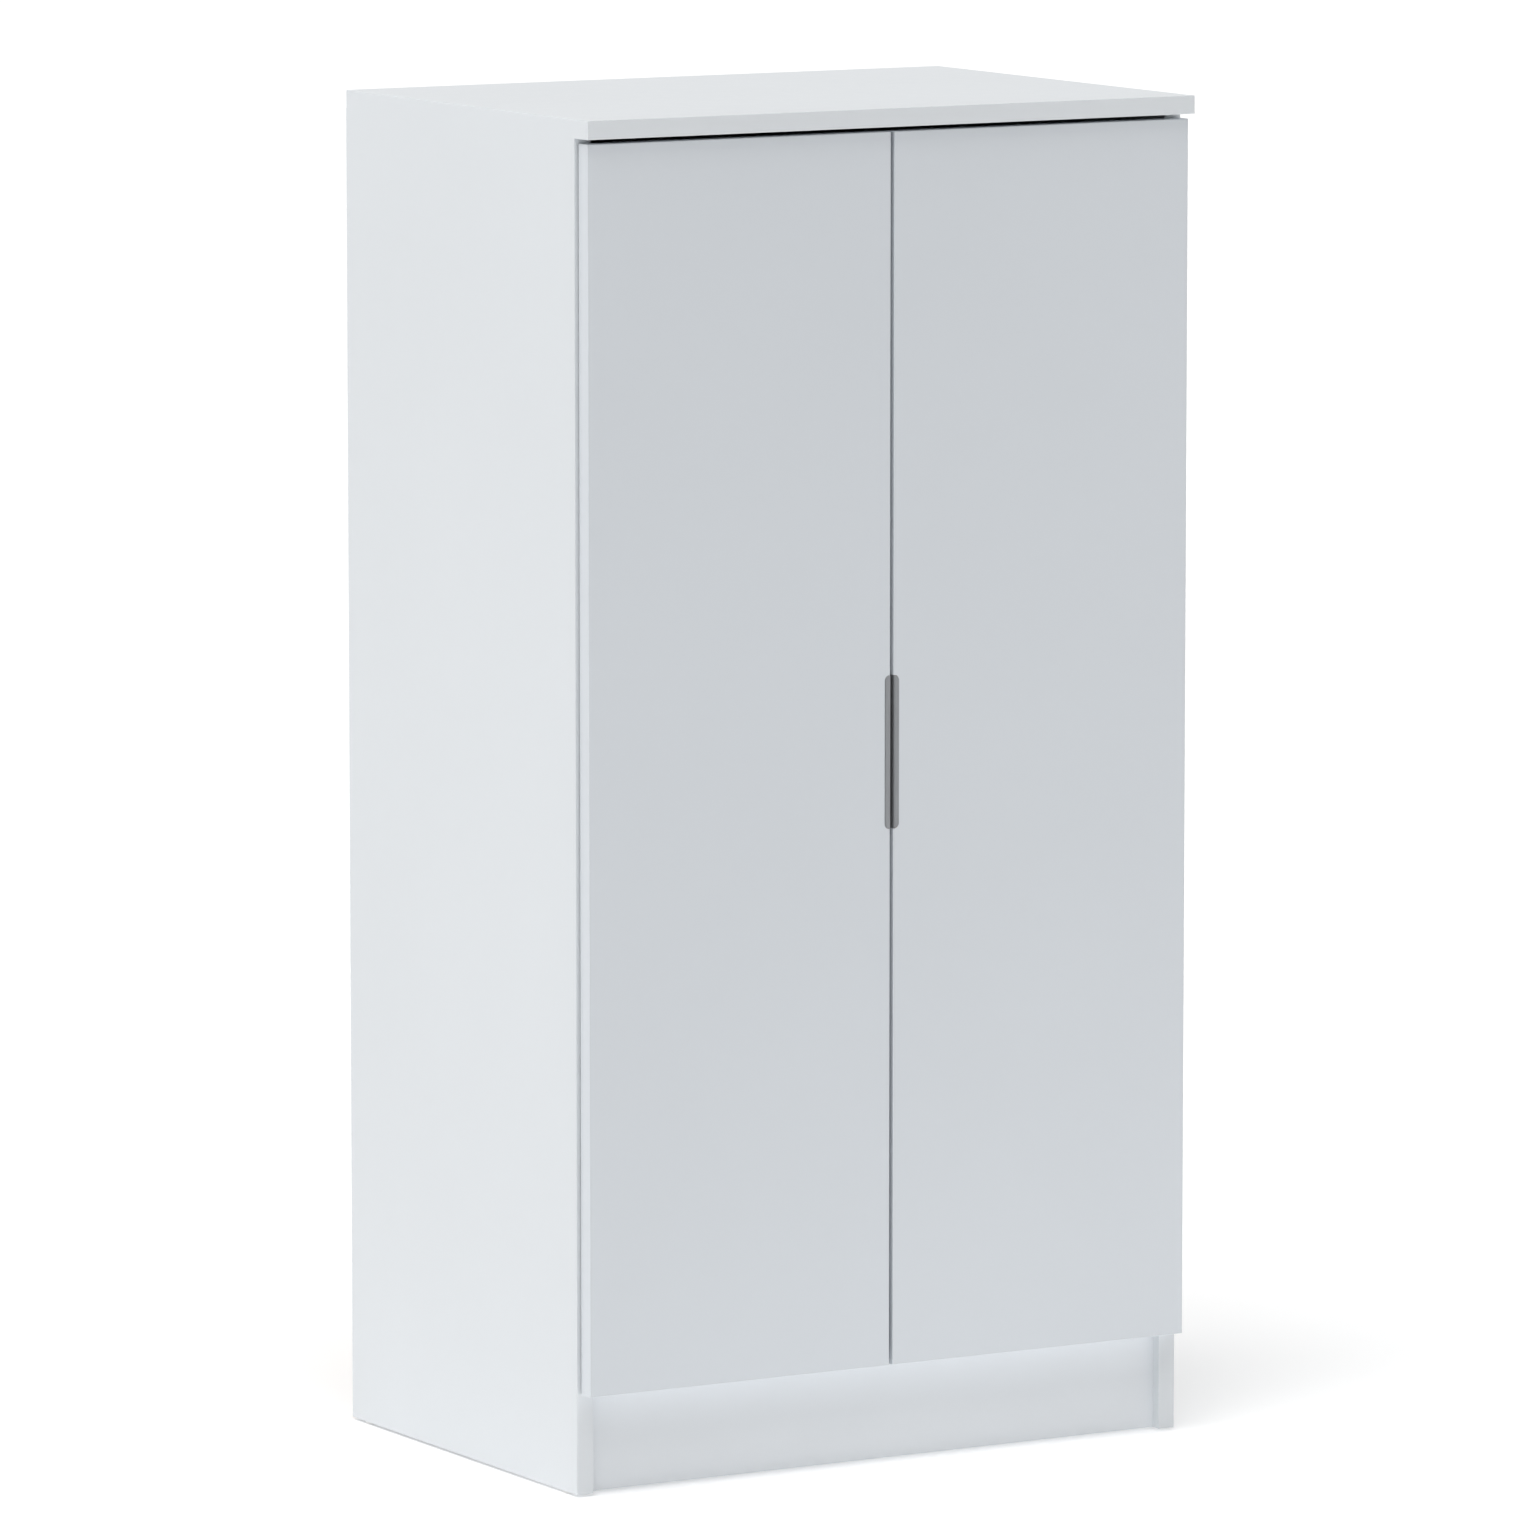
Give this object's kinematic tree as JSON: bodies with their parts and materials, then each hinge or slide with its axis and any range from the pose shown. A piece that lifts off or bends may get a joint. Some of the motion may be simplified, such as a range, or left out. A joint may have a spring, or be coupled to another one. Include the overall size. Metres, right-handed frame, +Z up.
{
  "type": "two-door wardrobe",
  "caption": "Plain white wardrobe with hinged doors on concealed hinges, edge-mounted metal handles, a hat shelf and a hanging rail.",
  "frame": {"origin": "on the floor, under the middle of the cabinet's outline", "axes": "+X to the right seen from the front, -Y towards the user, +Z up"},
  "size_m": [0.68, 0.486, 1.33],
  "materials": {
    "white_melamine": "white melamine on particle board, satin",
    "white_door_foil": "white foil on particle board, satin",
    "white_hardboard": "thin hardboard, painted white inside, raw brown outside",
    "beech": "fluted beech",
    "white_plastic": "moulded white",
    "clear_buffer": "soft translucent pad",
    "chromed_tube": "chrome plated steel tube",
    "brushed_handle": "brushed satin nickel colour",
    "nickel_fittings": "nickel plated steel",
    "zinc_fittings": "zinc die casting",
    "zinc_screws": "bright zinc plated"
  },
  "bodies": {
    "carcass": {"left_side_panel": "white_melamine", "right_side_panel": "white_melamine", "top_panel": "white_melamine", "bottom_panel": "white_melamine", "hat_shelf": "white_melamine", "plinth_front": "white_melamine", "plinth_rear": "white_melamine", "back_panel_left": "white_hardboard", "back_panel_right": "white_hardboard", "back_joining_strip": "white_plastic", "hanging_rail": "chromed_tube", "rail_socket_left": "nickel_fittings", "rail_socket_right": "nickel_fittings", "rail_socket_screws": "zinc_screws", "cam_locks": "zinc_fittings", "cam_bolts": "zinc_fittings", "cam_cover_caps": "white_plastic", "wooden_dowels": "beech", "floor_glides": "white_plastic", "back_panel_nails": "zinc_screws", "wall_brackets": "zinc_fittings", "wall_bracket_screws": "zinc_screws", "left_hinge_plates": "nickel_fittings", "left_plate_screws": "zinc_screws", "left_hinge_arms": "nickel_fittings", "left_arm_screws": "zinc_screws", "left_arm_pins": "zinc_screws", "right_hinge_plates": "nickel_fittings", "right_plate_screws": "zinc_screws", "right_hinge_arms": "nickel_fittings", "right_arm_screws": "zinc_screws", "right_arm_pins": "zinc_screws"},
    "left_links": {"left_hinge_links": "nickel_fittings"},
    "left_door": {"left_door_panel": "white_door_foil", "left_hinge_cups": "nickel_fittings", "left_cup_screws": "zinc_screws", "left_cup_pins": "zinc_screws", "left_door_handle": "brushed_handle", "left_handle_screws": "zinc_screws", "left_door_buffers": "clear_buffer"},
    "right_links": {"right_hinge_links": "nickel_fittings"},
    "right_door": {"right_door_panel": "white_door_foil", "right_hinge_cups": "nickel_fittings", "right_cup_screws": "zinc_screws", "right_cup_pins": "zinc_screws", "right_door_handle": "brushed_handle", "right_handle_screws": "zinc_screws", "right_door_buffers": "clear_buffer"}
  },
  "joints": [
    {"name": "left_link_swing", "type": "hinge", "parent": "carcass", "child": "left_links", "pos_m": [-0.3081, -0.2254, 0.704], "axis": [0, 0, 1], "range_deg": [0, 38.9]},
    {"name": "left_door_swing", "type": "hinge", "parent": "left_links", "child": "left_door", "pos_m": [-0.3255, -0.2221, 0.704], "axis": [0, 0, -1], "range_deg": [0, 133.8]},
    {"name": "right_link_swing", "type": "hinge", "parent": "carcass", "child": "right_links", "pos_m": [0.3081, -0.2254, 0.704], "axis": [0, 0, -1], "range_deg": [0, 38.9]},
    {"name": "right_door_swing", "type": "hinge", "parent": "right_links", "child": "right_door", "pos_m": [0.3255, -0.2221, 0.704], "axis": [0, 0, 1], "range_deg": [0, 133.8]}
  ],
  "couplings": [
    {"joint": "left_link_swing", "follows": "left_door_swing", "ratio": 0.29028},
    {"joint": "right_link_swing", "follows": "right_door_swing", "ratio": 0.29028}
  ]
}
